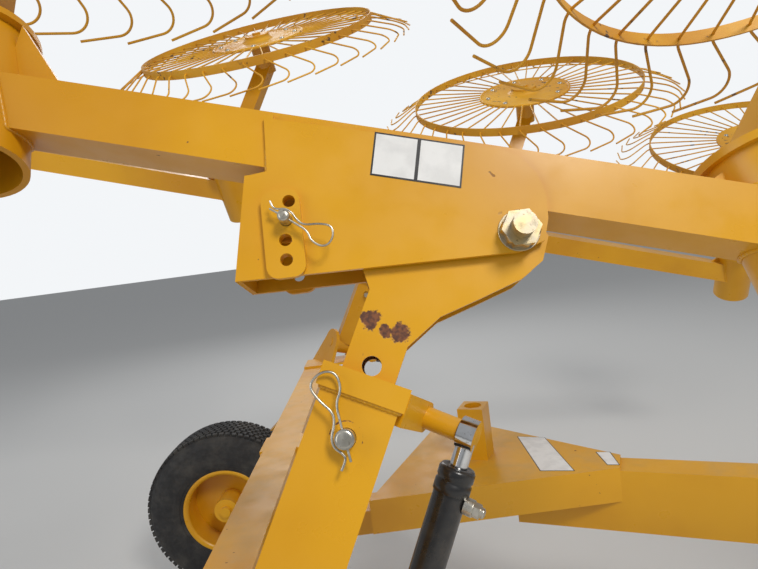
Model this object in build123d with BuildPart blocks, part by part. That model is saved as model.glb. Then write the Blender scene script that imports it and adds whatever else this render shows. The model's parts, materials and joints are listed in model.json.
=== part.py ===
from build123d import *
import math
import os

# Towed wheel rake, parked with both wings raised.
# X is forward, Y is left, Z is up, and the floor is Z = 0. Lengths are in millimetres.

# Carrying frame
toolbar_side = 127.0
toolbar_wall = 8.0
toolbar_half = 1440.0
toolbar_z = 940.0
toolbar_to_post = 747.7
spine_width = 150.0
spine_height = 90.0
spine_top = 720.0
spine_nose = 90.0
cheek_thick = 12.0
post_x = -88.3
pin_play = 0.05

# Ground wheels
axle_behind_toolbar = 500.0
track_half = 850.0
tyre_radius = 420.0
tyre_width = 280.0
rim_radius = 205.0
rim_width = 230.0
hub_radius = 62.0
spindle_radius = 26.0
leg_inner_y = 1032.0
leg_thick = 76.0

# Tongue, swung to the right by its angle
tongue_swing = 25.0
tongue_length = 3300.0
tongue_width = 112.0
tongue_height = 220.0
tongue_wall = 8.0
tongue_start = 143.0
root_top = 851.4
root_plate_thick = 11.0
root_leg_height = 110.0
root_leg_width = 83.0
root_reach = 510.0
root_back = 276.0
root_half_angle = 25.0
sleeve_side = 98.0
sleeve_top = 1049.9
king_radius = 33.0

# Hitch and parking jack at the tongue's front
hitch_height = 480.0
hitch_pin_radius = 16.5
hitch_plate = 25.0
hitch_gap = 70.0
hitch_reach = 130.0
jack_back = 420.0
jack_tube_radius = 38.0
jack_leg_radius = 30.0
jack_foot_radius = 90.0

# Wing frame: where the rake beam's middle stands, and how the raised wing leans
head_ahead_of_post = -270.7
head_y = -1115.0
head_z = 1867.5
wing_lean = 16.3
mast_lean = 26.5
beam_slope = 17.2
mast_crossing = 119.0

# Fold pivot at the arm's foot. The field angle is the V that each wing's beam opens to
foot_z = 1105.0
field_angle = 40.0
fold_pin_radius = 25.0
knuckle_radius = 58.0
knuckle_length = 170.0
clevis_plate = 20.0
clevis_gap = 1.0

# Telescoping arm
arm_side = 127.0
arm_wall = 9.5
mast_side = 88.9
mast_wall = 8.0
collar_side = 144.0
collar_height = 38.0
collar_top_below = 123.0
lock_below = 224.0
lock_step = 117.0
lock_radius = 15.0
lock_hole_radius = 16.0
mast_bottom_below = 700.0

# Head bracket and its adjusting holes
beam_side = 101.6
beam_wall = 8.0
plate_thick = 9.5
bolt_u = 210.6
bolt_v = -165.5
bolt_radius = 19.0
nut_across_flats = 57.0
nut_height = 24.0
hole_circle = 380.0
hole_step = 5.0
hole_radius = 10.5
pin_radius = 9.5
pad_thick = 12.0
pad_left = -203.0
pad_right = -139.0
pad_top = -45.0
pad_low = -195.0

# Rake wheels along each wing's beam: crank rise across the beam, wheel lean off the wing's own plane
wheel_pitch = 1500.0
beam_shift = -20.0
drum_radius = 95.0
drum_half = 145.0
drum_wall = 12.0
drum_cap = 15.0
gusset = 75.0
gusset_thick = 10.0
crank_rise = 790.0
crank_side = 76.0
crank_wall = 6.0
bearing_radius = 50.0
bearing_height = 60.0
wheel_drop = 200.0
wheel_toe = 5.0
wheel_lean = 11.0
wheel_stand_off = 110.0
hub_gap = 6.0
axle_radius = 22.0

# One rake wheel, in its own plane: radii from the axle, and the tine's bends
wheel_hub_radius = 65.0
wheel_thick = 60.0
plate_radius = 250.0
hub_plate_thick = 6.0
wheel_ring_radius = 620.0
wheel_ring_width = 40.0
wheel_ring_thick = 5.0
tine_count = 40
tine_radius = 3.75
tine_start = 150.0
tine_kink = 630.0
tine_hook = (775.0, -125.0, -75.0)
tine_tip = (812.0, 60.0, -85.0)
kink_radius = 60.0
hook_radius = 50.0

# Fold cylinder, in front of the arm: its two pins from the fold pin, up the arm and inboard, and its place along the pin
cylinder_rise = 45.0
cylinder_foot = 190.0
cylinder_up = 450.0
cylinder_side = 125.0
cylinder_ahead = 143.5
cylinder_radius = 30.0
cylinder_pin_radius = 15.0
cylinder_eye_radius = 28.0
rod_radius = 16.0
eye_thick = 30.0
open_pivot_gap = 3.0

toolbar_x = post_x - toolbar_to_post
axle_x = toolbar_x - axle_behind_toolbar


def unit(vector):
    return vector.normalized()


def square_tube(plane, side, wall, start, end):
    """Straight square tube along the plane's normal, from start to end."""
    with BuildPart() as tube:
        with BuildSketch(plane.offset(start)):
            Rectangle(side, side)
            Rectangle(side - 2 * wall, side - 2 * wall, mode=Mode.SUBTRACT)
        extrude(amount=end - start)
    return tube.part


written = []


def keep(part, name):
    """Labels a finished piece and writes it."""
    part.label = name
    os.makedirs("parts", exist_ok=True)
    export_step(part, f"parts/{name}.step")
    written.append(name)


def keep_pair(part, name):
    """Writes a piece of the right wing and its mirror image on the left."""
    keep(part, f"{name}_right")
    keep(mirror(part, about=Plane.XZ), f"{name}_left")


# Wing plane of the right side: x along the machine, y up the raised wing, z outboard
lean = math.radians(wing_lean)
outboard = Vector(0, -math.cos(lean), math.sin(lean))
head = Vector(post_x + head_ahead_of_post, head_y, head_z)
wing = Plane(origin=head, x_dir=(1, 0, 0), z_dir=outboard)


def in_wing(u, v, w):
    return wing.from_local_coords(Vector(u, v, w))


def wing_direction(u, v, w):
    return in_wing(u, v, w) - in_wing(0, 0, 0)


mast_up = Vector(math.sin(math.radians(mast_lean)), math.cos(math.radians(mast_lean)), 0)
mast_dir = unit(wing_direction(mast_up.X, mast_up.Y, 0))
mast_side_dir = unit(wing_direction(mast_up.Y, -mast_up.X, 0))
mast_zero = in_wing(mast_crossing, 0, 0)
foot_drop = (mast_zero.Z - foot_z) / mast_dir.Z
foot = mast_zero - mast_dir * foot_drop
mast_plane = Plane(origin=mast_zero, x_dir=mast_side_dir, z_dir=mast_dir)
slope = math.radians(beam_slope)
along_beam = (math.cos(slope), -math.sin(slope))
across_beam = (math.sin(slope), math.cos(slope))
bolt_to_zero = 284.0

# Fold axis: it turns the wing down flat and opens its beam to the field angle
turn_half = math.radians(-field_angle - beam_slope) / 2
drop_half = math.radians(90.0 + wing_lean) / 2
fold_axis = unit(
    Vector(
        math.cos(turn_half) * math.sin(drop_half),
        math.sin(turn_half) * math.sin(drop_half),
        math.sin(turn_half) * math.cos(drop_half),
    )
)
fold_angle = 2 * math.degrees(math.acos(math.cos(turn_half) * math.cos(drop_half)))
foot_up = unit(mast_dir - fold_axis * mast_dir.dot(fold_axis))
fold_plane = Plane(origin=foot, x_dir=foot_up, z_dir=fold_axis)

# Toolbar across the machine
across = Plane(origin=(toolbar_x, 0, toolbar_z), x_dir=(1, 0, 0), z_dir=(0, 1, 0))
keep(square_tube(across, toolbar_side, toolbar_wall, -toolbar_half, toolbar_half), "toolbar")

# Spine under the tongue's root, hung from the toolbar by two cheeks, with the king pin
toolbar_low = toolbar_z - toolbar_side / 2
toolbar_top = toolbar_z + toolbar_side / 2
spine_low = spine_top - spine_height
spine_back = toolbar_x - toolbar_side / 2 - cheek_thick
with BuildPart() as spine:
    with BuildSketch(Plane.XY.offset(spine_low)):
        with Locations(((spine_back + post_x + spine_nose) / 2, 0)):
            Rectangle(post_x + spine_nose - spine_back, spine_width)
    extrude(amount=spine_height)
    with BuildSketch(Plane.XY.offset(spine_low)):
        for x in (spine_back + cheek_thick / 2, toolbar_x + (toolbar_side + cheek_thick) / 2):
            with Locations((x, 0)):
                Rectangle(cheek_thick, spine_width)
    extrude(amount=toolbar_top - spine_low)
    with BuildSketch(Plane.XY.offset(spine_low)):
        with Locations((post_x, 0)):
            Circle(king_radius)
    extrude(amount=sleeve_top - 20 - spine_low)
keep(spine.part, "spine")

# Tongue root: two diverging legs under a top plate, and the sleeve on the king pin
swing = math.radians(tongue_swing)
tongue_dir = (math.cos(swing), -math.sin(swing), 0)
root_low = root_top - root_plate_thick - root_leg_height
root = Plane(origin=(post_x, 0, root_low), x_dir=tongue_dir, z_dir=(0, 0, 1))
half = tongue_width / 2
back_half = half + (root_reach + root_back) * math.tan(math.radians(root_half_angle))
root_outline = ((root_reach, half), (-root_back, back_half), (-root_back, -back_half), (root_reach, -half))
with BuildPart() as root_legs:
    with BuildSketch(root) as ring:
        Polygon(*root_outline, align=None)
        offset(amount=-root_leg_width, kind=Kind.INTERSECTION, mode=Mode.SUBTRACT)
        with Locations(((tongue_start + tongue_length) / 2, 0)):
            Rectangle(tongue_length - tongue_start, tongue_width, mode=Mode.SUBTRACT)
    extrude(amount=root_leg_height)
keep(root_legs.part, "tongue_root_legs")

with BuildPart() as root_plate:
    with BuildSketch(root.offset(root_leg_height)):
        Polygon(*root_outline, align=None)
    extrude(amount=root_plate_thick)
    with BuildSketch(root.offset(0.3)):
        Rectangle(sleeve_side, sleeve_side)
    extrude(amount=sleeve_top - root_low - 0.3)
    with BuildSketch(root):
        Circle(king_radius + pin_play)
    extrude(amount=sleeve_top - root_low, mode=Mode.SUBTRACT)
keep(root_plate.part, "tongue_root_plate")

tube_top = root_top - root_plate_thick
along = Plane(origin=(post_x, 0, tube_top - tongue_height / 2), x_dir=(math.sin(swing), math.cos(swing), 0),
              z_dir=tongue_dir)
with BuildPart() as tongue_tube:
    with BuildSketch(along.offset(tongue_start)):
        Rectangle(tongue_width, tongue_height)
        Rectangle(tongue_width - 2 * tongue_wall, tongue_height - 2 * tongue_wall, mode=Mode.SUBTRACT)
    extrude(amount=tongue_length - tongue_start)
keep(tongue_tube.part, "tongue_tube")

# Hitch: a drop plate with two ears for the drawbar pin
tip = Plane(origin=(post_x, 0, 0), x_dir=tongue_dir, z_dir=(0, 0, 1))
hitch_low = hitch_height - hitch_gap / 2 - hitch_plate
with BuildPart() as hitch:
    with BuildSketch(tip.offset(hitch_low)):
        with Locations((tongue_length + hitch_plate / 2, 0)):
            Rectangle(hitch_plate, tongue_width)
    extrude(amount=tube_top - hitch_low)
    for low in (hitch_low, hitch_height + hitch_gap / 2):
        with BuildSketch(tip.offset(low)):
            with Locations((tongue_length + hitch_plate + hitch_reach / 2, 0)):
                Rectangle(hitch_reach, tongue_width)
            with Locations((tongue_length + hitch_plate + hitch_reach, 0)):
                Circle(half)
            with Locations((tongue_length + hitch_plate + hitch_reach, 0)):
                Circle(hitch_pin_radius, mode=Mode.SUBTRACT)
        extrude(amount=hitch_plate)
keep(hitch.part, "hitch")

# Parking jack on the tongue's left side
jack_y = half + jack_tube_radius + 12.0
jack_t = tongue_length - jack_back
with BuildPart() as jack_housing:
    with BuildSketch(tip.offset(tube_top - tongue_height - 120.0)):
        with Locations((jack_t, jack_y)):
            Circle(jack_tube_radius)
    extrude(amount=tongue_height + 340.0)
    with BuildSketch(tip.offset(tube_top - tongue_height)):
        with Locations((jack_t, (half + jack_y) / 2)):
            Rectangle(120.0, jack_y - half)
    extrude(amount=tongue_height)
    with BuildSketch(tip.offset(tube_top - tongue_height - 120.0)):
        with Locations((jack_t, jack_y)):
            Circle(jack_leg_radius + pin_play)
    extrude(amount=tongue_height + 320.0, mode=Mode.SUBTRACT)
keep(jack_housing.part, "jack_housing")

with BuildPart() as jack_leg:
    with BuildSketch(tip):
        with Locations((jack_t, jack_y)):
            Circle(jack_foot_radius)
    extrude(amount=12.0)
    with BuildSketch(tip.offset(12.0)):
        with Locations((jack_t, jack_y)):
            Circle(jack_leg_radius)
    extrude(amount=tube_top - 32.0)
keep(jack_leg.part, "jack_leg")

# Ground wheels: leg with spindle, rim with hub, tyre
side = Plane(origin=(0, 0, 0), x_dir=(1, 0, 0), z_dir=(0, -1, 0))
leg_top = toolbar_low
with BuildPart() as wheel_leg:
    with BuildSketch(side.offset(leg_inner_y)):
        with BuildLine():
            Polyline(
                (toolbar_x - 90, leg_top), (toolbar_x + 90, leg_top), (toolbar_x + 90, leg_top - 40),
                (axle_x + 75, tyre_radius - 20), (axle_x + 30, tyre_radius - 75), (axle_x - 45, tyre_radius - 60),
                (axle_x - 75, tyre_radius + 10), (axle_x - 55, tyre_radius + 60), close=True,
            )
        make_face()
    extrude(amount=leg_thick)
    with BuildSketch(side.offset(track_half - rim_width / 2 - 20)):
        with Locations((axle_x, tyre_radius)):
            Circle(spindle_radius)
    extrude(amount=leg_inner_y - track_half + rim_width / 2 + 20)
keep_pair(wheel_leg.part, "wheel_leg")

wheel_plane = side.offset(track_half)
with BuildPart() as rim:
    with BuildSketch(wheel_plane.offset(-rim_width / 2)):
        with Locations((axle_x, tyre_radius)):
            Circle(rim_radius)
            Circle(rim_radius - 8, mode=Mode.SUBTRACT)
    extrude(amount=rim_width)
    with BuildSketch(wheel_plane.offset(20)):
        with Locations((axle_x, tyre_radius)):
            Circle(rim_radius - 4)
    extrude(amount=10)
    with BuildSketch(wheel_plane.offset(-rim_width / 2)):
        with Locations((axle_x, tyre_radius)):
            Circle(hub_radius)
    extrude(amount=rim_width)
    with BuildSketch(wheel_plane.offset(-rim_width)):
        with Locations((axle_x, tyre_radius)):
            Circle(spindle_radius + pin_play)
    extrude(amount=2 * rim_width, mode=Mode.SUBTRACT)
keep_pair(rim.part, "rim")

with BuildPart() as tyre:
    with BuildSketch(Plane(origin=(axle_x, -track_half, tyre_radius), x_dir=(0, -1, 0), z_dir=(1, 0, 0))):
        with BuildLine():
            Polyline(
                (-rim_width / 2, rim_radius), (rim_width / 2, rim_radius), (tyre_width / 2, rim_radius + 90),
                (tyre_width / 2 - 10, tyre_radius - 30), (tyre_width / 2 - 35, tyre_radius),
                (-tyre_width / 2 + 35, tyre_radius), (-tyre_width / 2 + 10, tyre_radius - 30),
                (-tyre_width / 2, rim_radius + 90), close=True,
            )
        make_face()
    revolve(axis=Axis((axle_x, 0, tyre_radius), (0, 1, 0)))
keep_pair(tyre.part, "tyre")

# Arm foot on the toolbar: a clevis across the fold axis, with its pin and the fold cylinder's lower pin
base_thick = 12.0
foot_eye = 80.0
foot_spread = 160.0
foot_depth = 300.0
clevis_inner = knuckle_length / 2 + clevis_gap
clevis_outer = clevis_inner + clevis_plate
fold_pin_end = clevis_outer + 3.0
cylinder_pin = fold_plane.from_local_coords(Vector(cylinder_rise, -cylinder_foot, cylinder_ahead))
with BuildPart() as arm_foot:
    for start in (-clevis_outer, clevis_inner):
        with BuildSketch(fold_plane.offset(start)):
            with BuildLine():
                Polyline((0, -foot_eye), (-foot_depth, -foot_spread), (-foot_depth, foot_spread), (0, foot_eye), close=True)
            make_face()
            Circle(foot_eye)
        extrude(amount=clevis_plate)
    with BuildSketch(fold_plane.offset(clevis_inner)):
        with BuildLine():
            Polyline((cylinder_rise + 35, -cylinder_foot), (foot_eye, 0), (-foot_eye, -foot_eye),
                     (cylinder_rise - 35, -cylinder_foot), close=True)
        make_face()
        with Locations((cylinder_rise, -cylinder_foot)):
            Circle(35)
    extrude(amount=clevis_plate)
    with BuildSketch(Plane.XY.offset(toolbar_top)):
        with Locations((foot.X, foot.Y)):
            Rectangle(3 * foot_depth, 3 * foot_depth)
    extrude(amount=-3 * foot_depth, mode=Mode.SUBTRACT)
    with BuildSketch(Plane.XY.offset(toolbar_top)):
        with Locations(((toolbar_x - toolbar_side / 2 + foot.X + 130) / 2, foot.Y)):
            Rectangle(foot.X + 130 - toolbar_x + toolbar_side / 2, 200)
    extrude(amount=base_thick)
    with BuildSketch(fold_plane.offset(-fold_pin_end)):
        Circle(fold_pin_radius)
    extrude(amount=2 * fold_pin_end)
    with BuildSketch(fold_plane.offset(clevis_inner)):
        with Locations((cylinder_rise, -cylinder_foot)):
            Circle(cylinder_pin_radius)
    extrude(amount=cylinder_ahead + eye_thick / 2 + 10 - clevis_inner)
keep_pair(arm_foot.part, "arm_foot")

# Arm: outer square tube with its knuckle on the fold pin, its collar, and the lug and stub for the cylinder
collar_top = -bolt_to_zero - collar_top_below
arm_start = 30.0 - foot_drop
lug_thick = 25.0
with BuildPart() as arm:
    with BuildSketch(mast_plane.offset(arm_start)):
        Rectangle(arm_side, arm_side)
    extrude(amount=collar_top - 1.0 - arm_start)
    with BuildSketch(mast_plane.offset(collar_top - collar_height)):
        Rectangle(collar_side, collar_side)
    extrude(amount=collar_height)
    with BuildSketch(fold_plane.offset(-knuckle_length / 2)):
        Circle(knuckle_radius)
    extrude(amount=knuckle_length)
    with BuildSketch(fold_plane.offset(arm_side / 2 - lug_thick)):
        with Locations((cylinder_up, -cylinder_side / 2)):
            Rectangle(2 * cylinder_eye_radius, cylinder_side)
        with Locations((cylinder_up, -cylinder_side)):
            Circle(cylinder_eye_radius)
    extrude(amount=lug_thick)
    with BuildSketch(fold_plane.offset(arm_side / 2 - lug_thick)):
        with Locations((cylinder_up, -cylinder_side)):
            Circle(cylinder_pin_radius + 5)
    extrude(amount=cylinder_ahead - eye_thick / 2 - open_pivot_gap - arm_side / 2 + lug_thick)
    with BuildSketch(mast_plane.offset(-foot_drop + knuckle_radius + 60)):
        Rectangle(arm_side - 2 * arm_wall, arm_side - 2 * arm_wall)
    extrude(amount=foot_drop - knuckle_radius - 60 + collar_top - collar_height, mode=Mode.SUBTRACT)
    with BuildSketch(mast_plane.offset(collar_top)):
        Rectangle(mast_side + 2 * pin_play, mast_side + 2 * pin_play)
    extrude(amount=-2 * collar_height, mode=Mode.SUBTRACT)
    with BuildSketch(fold_plane.offset(-knuckle_length)):
        Circle(fold_pin_radius + pin_play)
    extrude(amount=2 * knuckle_length, mode=Mode.SUBTRACT)
    lock_level = -bolt_to_zero - lock_below
    with BuildSketch(Plane(origin=mast_plane.from_local_coords(Vector(0, 0, lock_level)), x_dir=mast_side_dir,
                           z_dir=outboard).offset(-arm_side)):
        Circle(lock_hole_radius)
    extrude(amount=2 * arm_side, mode=Mode.SUBTRACT)
keep_pair(arm.part, "arm")

# Mast: inner tube with the two plates that reach the pivot bolt and the angle pin
mast_top = -175.0
with BuildPart() as mast:
    with BuildSketch(mast_plane.offset(-mast_bottom_below)):
        Rectangle(mast_side, mast_side)
        Rectangle(mast_side - 2 * mast_wall, mast_side - 2 * mast_wall, mode=Mode.SUBTRACT)
    extrude(amount=mast_bottom_below + mast_top)
    for start in (-mast_side / 2, mast_side / 2 - 10):
        with BuildSketch(wing.offset(start)):
            with BuildLine():
                Polyline((-20, -345), (65, -286), (134, -265), (205, -242), (245, -216), (262, -175), (230, -135),
                         (bolt_u - 20, -135), (-150, -65), (-195, -75), (-190, -125), (-60, -140), close=True)
            make_face()
            with Locations((bolt_u, bolt_v)):
                Circle(bolt_radius + pin_play, mode=Mode.SUBTRACT)
        extrude(amount=10)
    for step in range(-2, 2):
        level = -bolt_to_zero - lock_below + step * lock_step
        with BuildSketch(Plane(origin=mast_plane.from_local_coords(Vector(0, 0, level)), x_dir=mast_side_dir,
                               z_dir=outboard).offset(-mast_side)):
            Circle(lock_hole_radius)
        extrude(amount=2 * mast_side, mode=Mode.SUBTRACT)
    pin_at = (bolt_u - hole_circle * math.cos(math.radians(hole_step * 2)),
              bolt_v + hole_circle * math.sin(math.radians(hole_step * 2)))
    with BuildSketch(wing.offset(-mast_side)):
        with Locations(pin_at):
            Circle(hole_radius)
    extrude(amount=2 * mast_side, mode=Mode.SUBTRACT)
keep_pair(mast.part, "mast")

# Lock pin: a shank in each wall of the arm, stopped short of the mast so that the mast can slide
pin_gap = 5.5
with BuildPart() as lock_pin:
    lock_plane = Plane(origin=mast_plane.from_local_coords(Vector(0, 0, lock_level)), x_dir=mast_side_dir,
                       z_dir=outboard)
    for start, end in ((mast_side / 2 + pin_gap, arm_side / 2 + 28), (-arm_side / 2 - 20, -mast_side / 2 - pin_gap)):
        with BuildSketch(lock_plane.offset(start)):
            Circle(lock_radius)
        extrude(amount=end - start)
keep_pair(lock_pin.part, "lock_pin")

# Head bracket: two plates on the beam's faces, closed by a fold at the rear, with a pad round the adjusting holes
bracket_corners = ((-170, 98), (-170, 88), (206, -20), (236, -38), (258, -72), (266, -110), (262, -150), (250, -186),
                   (207, -200), (-249, -188), (-219, -8), (-190, -5), (-186, 96))
bracket_fold = ((-249, -188), (-219, -8), (-228, -8), (-258, -188))
hole_places = [(bolt_u - hole_circle * math.cos(math.radians(hole_step * k)),
                bolt_v + hole_circle * math.sin(math.radians(hole_step * k))) for k in range(4)]
bracket_out = beam_side / 2 + plate_thick
with BuildPart() as bracket:
    for start in (-bracket_out, beam_side / 2):
        with BuildSketch(wing.offset(start)):
            with BuildLine():
                Polyline(*bracket_corners, close=True)
            make_face()
        extrude(amount=plate_thick)
    with BuildSketch(wing.offset(-bracket_out)):
        Polygon(*bracket_fold, align=None)
    extrude(amount=2 * bracket_out)
    for start in (-bracket_out - pad_thick, bracket_out):
        with BuildSketch(wing.offset(start)):
            with Locations(((pad_left + pad_right) / 2, (pad_low + pad_top) / 2)):
                RectangleRounded(pad_right - pad_left, pad_top - pad_low, 20)
        extrude(amount=pad_thick)
    with BuildSketch(wing.offset(-bracket_out - pad_thick)):
        with Locations(*hole_places):
            Circle(hole_radius)
    extrude(amount=2 * (bracket_out + pad_thick), mode=Mode.SUBTRACT)
    with BuildSketch(wing.offset(-bracket_out)):
        with Locations((bolt_u, bolt_v)):
            Circle(bolt_radius + pin_play)
    extrude(amount=2 * bracket_out, mode=Mode.SUBTRACT)
keep_pair(bracket.part, "head_bracket")

# Pivot bolt and angle pin
with BuildPart() as pivot_bolt:
    with BuildSketch(wing.offset(-bracket_out - 30)):
        with Locations((bolt_u, bolt_v)):
            Circle(bolt_radius)
    extrude(amount=2 * bracket_out + 80)
    for start in (-bracket_out - nut_height, bracket_out):
        with BuildSketch(wing.offset(start)):
            with Locations((bolt_u, bolt_v)):
                RegularPolygon(nut_across_flats / 2, 6, major_radius=False)
        extrude(amount=nut_height)
keep_pair(pivot_bolt.part, "pivot_bolt")

with BuildPart() as angle_pin:
    for start, end in ((mast_side / 2 + pin_gap, bracket_out + 40), (-bracket_out - 20, -mast_side / 2 - pin_gap)):
        with BuildSketch(wing.offset(start)):
            with Locations(pin_at):
                Circle(pin_radius)
        extrude(amount=end - start)
keep_pair(angle_pin.part, "angle_pin")

# Where each drum, crank and rake wheel stands on the right wing
toe = math.radians(wheel_toe)
tilt = math.radians(wheel_lean)
wheel_up = unit(wing_direction(-math.sin(toe), math.cos(toe) * math.cos(tilt), -math.cos(toe) * math.sin(tilt)))
wheel_along = unit(Vector(1, 0, 0) - wheel_up * wheel_up.X)
beam_plane = Plane(origin=head, x_dir=outboard, z_dir=wing_direction(*along_beam, 0))
drum_places = [(k - 1.5) * wheel_pitch + beam_shift for k in range(4)]


def drum_centre(place):
    return in_wing(place * along_beam[0], place * along_beam[1], 0)


def wheel_centre(place):
    return in_wing(
        place * along_beam[0] + crank_rise * across_beam[0],
        place * along_beam[1] + crank_rise * across_beam[1],
        wheel_drop,
    )


def drum_plane(place):
    """Plane at a drum's middle, its normal along the wheel's own axle."""
    return Plane(origin=drum_centre(place), x_dir=wheel_along, z_dir=wheel_up)


# Rake beam: three lengths seated on the drums, and a gusset at each end of each
with BuildPart() as rake_beam:
    for k in range(3):
        with BuildSketch(beam_plane.offset(drum_places[k])):
            Rectangle(beam_side, beam_side)
            Rectangle(beam_side - 2 * beam_wall, beam_side - 2 * beam_wall, mode=Mode.SUBTRACT)
        extrude(amount=wheel_pitch)
        for place, way in ((drum_places[k], 1), (drum_places[k + 1], -1)):
            near = place + way * drum_radius / 2
            far = place + way * (drum_radius + gusset)
            gusset_plane = Plane(origin=head, x_dir=wing_direction(*along_beam, 0), z_dir=outboard)
            with BuildSketch(gusset_plane.offset(-gusset_thick / 2)):
                with BuildLine():
                    Polyline((near, beam_side / 2), (far, beam_side / 2), (near, beam_side / 2 + gusset + drum_radius / 2),
                             close=True)
                make_face()
            extrude(amount=gusset_thick)
    for place in drum_places:
        with BuildSketch(drum_plane(place).offset(-2 * drum_half)):
            Circle(drum_radius)
        extrude(amount=4 * drum_half, mode=Mode.SUBTRACT)
keep_pair(rake_beam.part, "rake_beam")

# Cranks: a drum on the beam, a square post leaning from its cap, and the bearing with the wheel's axle
with BuildPart() as cranks:
    for place in drum_places:
        drum = drum_plane(place)
        with BuildSketch(drum.offset(-drum_half)):
            Circle(drum_radius)
            Circle(drum_radius - drum_wall, mode=Mode.SUBTRACT)
        extrude(amount=2 * drum_half)
        with BuildSketch(drum.offset(drum_half)):
            Circle(drum_radius + drum_cap)
        extrude(amount=drum_cap)
        bearing = Plane(origin=wheel_centre(place) - wheel_up * wheel_stand_off, x_dir=wheel_along, z_dir=wheel_up)
        post_foot = drum.origin + wheel_up * (drum_half + drum_cap / 2)
        post_run = bearing.origin - wheel_up * bearing_height / 2 - post_foot
        post_foot_plane = Plane(origin=post_foot, x_dir=wheel_along, z_dir=unit(post_run))
        with BuildSketch(post_foot_plane):
            Rectangle(crank_side, crank_side)
        extrude(amount=post_run.length)
        with BuildSketch(bearing.offset(-bearing_height)):
            Circle(bearing_radius)
        extrude(amount=bearing_height + wheel_stand_off - wheel_thick / 2 - hub_gap)
        with BuildSketch(post_foot_plane.offset(crank_side)):
            Rectangle(crank_side - 2 * crank_wall, crank_side - 2 * crank_wall)
        extrude(amount=post_run.length - 2 * crank_side - bearing_radius, mode=Mode.SUBTRACT)
        with BuildSketch(drum.offset(-drum_half)):
            Circle(drum_radius - drum_wall)
        extrude(amount=2 * drum_half, mode=Mode.SUBTRACT)
        with BuildSketch(bearing):
            Circle(axle_radius)
        extrude(amount=wheel_stand_off + wheel_thick / 2 + 10)
keep_pair(cranks.part, "crank")

# Rake wheel: hub, centre plate and hoop, with the bent tines through the hoop
with BuildPart() as tine:
    with BuildLine():
        FilletPolyline((tine_start, 0, 0), (tine_kink, 0, 0), tine_hook, tine_tip, radius=(kink_radius, hook_radius))
    with BuildSketch(Plane(origin=(tine_start, 0, 0), z_dir=(1, 0, 0))):
        Circle(tine_radius)
    sweep()
with BuildPart() as rake_wheel:
    with BuildSketch(Plane.XY.offset(-wheel_ring_width / 2)):
        Circle(wheel_ring_radius + wheel_ring_thick / 2)
        Circle(wheel_ring_radius - wheel_ring_thick / 2, mode=Mode.SUBTRACT)
    extrude(amount=wheel_ring_width)
    with BuildSketch(Plane.XY.offset(-hub_plate_thick / 2)):
        Circle(plate_radius)
    extrude(amount=hub_plate_thick)
    with BuildSketch(Plane.XY.offset(-wheel_thick / 2)):
        Circle(wheel_hub_radius)
    extrude(amount=wheel_thick)
    with PolarLocations(0, tine_count):
        add(tine.part)
    with BuildSketch(Plane.XY.offset(-wheel_thick)):
        Circle(axle_radius + pin_play)
    extrude(amount=2 * wheel_thick, mode=Mode.SUBTRACT)
for k, place in enumerate(drum_places):
    disc_plane = Plane(origin=wheel_centre(place), x_dir=wheel_along, z_dir=wheel_up)
    keep_pair(rake_wheel.part.moved(disc_plane.location), f"rake_wheel_{k + 1}")

# Fold cylinder: barrel on the foot's pin, rod with its eye beside the arm's stub
barrel_start = 45.0
barrel_floor = 30.0
rod_start = barrel_start + barrel_floor + 3.0
cylinder_top = fold_plane.from_local_coords(Vector(cylinder_up, -cylinder_side, cylinder_ahead))
cylinder_run = cylinder_top - cylinder_pin
cylinder_dir = unit(cylinder_run)
barrel_end = cylinder_run.length - 60.0
cyl_plane = Plane(origin=cylinder_pin, x_dir=fold_axis, z_dir=cylinder_dir)
eye_low = cylinder_ahead - eye_thick / 2
with BuildPart() as barrel:
    with BuildSketch(cyl_plane.offset(barrel_start)):
        Circle(cylinder_radius)
    extrude(amount=barrel_end - barrel_start)
    with BuildSketch(fold_plane.offset(eye_low)):
        with Locations((cylinder_rise, -cylinder_foot)):
            Circle(cylinder_eye_radius)
    extrude(amount=eye_thick)
    with BuildSketch(cyl_plane):
        Rectangle(eye_thick, 50)
    extrude(amount=barrel_start + 5)
    with BuildSketch(cyl_plane.offset(barrel_start + barrel_floor)):
        Circle(rod_radius + pin_play)
    extrude(amount=cylinder_run.length, mode=Mode.SUBTRACT)
    with BuildSketch(fold_plane.offset(eye_low)):
        with Locations((cylinder_rise, -cylinder_foot)):
            Circle(cylinder_pin_radius + pin_play)
    extrude(amount=eye_thick, mode=Mode.SUBTRACT)
keep_pair(barrel.part, "cylinder_barrel")

with BuildPart() as rod:
    with BuildSketch(cyl_plane.offset(rod_start)):
        Circle(rod_radius)
    extrude(amount=cylinder_run.length - 15 - rod_start)
    with BuildSketch(fold_plane.offset(eye_low)):
        with Locations((cylinder_up, -cylinder_side)):
            Circle(cylinder_eye_radius)
    extrude(amount=eye_thick)
keep_pair(rod.part, "cylinder_rod")

print("nodes", len(written))
print("fold angle", round(fold_angle, 1), "foot", foot, "axis", fold_axis)
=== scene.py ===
"""Looks of the wheel rake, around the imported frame. Lengths are in metres, +X forward, +Y left, +Z up."""
import json
import math

import bmesh
import bpy
from mathutils import Matrix, Vector


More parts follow.
